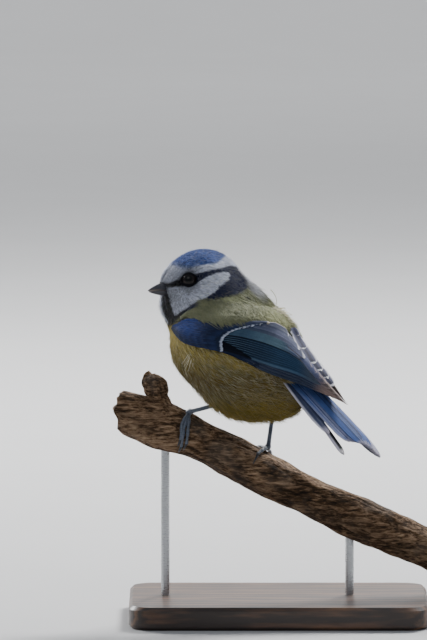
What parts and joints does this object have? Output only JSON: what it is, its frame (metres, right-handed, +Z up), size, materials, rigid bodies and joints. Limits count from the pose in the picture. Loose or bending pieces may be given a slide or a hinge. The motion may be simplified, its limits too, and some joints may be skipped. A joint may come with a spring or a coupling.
{
  "type": "blue tit on a perch, still museum model",
  "caption": "Life-size blue tit gripping a short sloping branch, head turned to its left, held by a flat base and plain rods.",
  "frame": {"origin": "centre of the stand base's underside", "axes": "+Z up; the branch runs along X, falling towards +X; the bird's bill points towards -X and its left side faces -Y"},
  "size_m": [0.1225, 0.064, 0.1287],
  "materials": {
    "crown_feathers": "soft feathers: blue crown, white face, dark eye stripe, collar and bib",
    "yellow_feathers": "soft feathers: yellow underside, grey-green back",
    "wing_feathers": "smooth flight feathers, blue with a white bar",
    "tail_feathers": "smooth flight feathers, blue with pale outer edges",
    "eye": "wet, nearly black",
    "bill": "satin horn, dark grey with a paler edge",
    "leg": "scaled skin, blue-grey",
    "claw": "satin horn",
    "bark": "weathered bark, mottled brown",
    "stand_wood": "satin stained wood",
    "rod_steel": "satin steel"
  },
  "bodies": {
    "root": {"head": "crown_feathers", "neck": "yellow_feathers", "torso": "yellow_feathers", "eye_left": "eye", "eye_right": "eye", "bill_upper": "bill", "bill_lower": "bill", "wing_left": "wing_feathers", "wing_right": "wing_feathers", "tail": "tail_feathers", "perch": "bark", "thigh_left": "yellow_feathers", "tarsus_left": "leg", "foot_left": "leg", "thigh_right": "yellow_feathers", "tarsus_right": "leg", "foot_right": "leg", "claw_left_1": "claw", "claw_left_2": "claw", "claw_left_3": "claw", "claw_left_4": "claw", "claw_right_1": "claw", "claw_right_2": "claw", "claw_right_3": "claw", "claw_right_4": "claw", "stand_base": "stand_wood", "stand_rod_left": "rod_steel", "stand_rod_right": "rod_steel"}
  },
  "joints": []
}
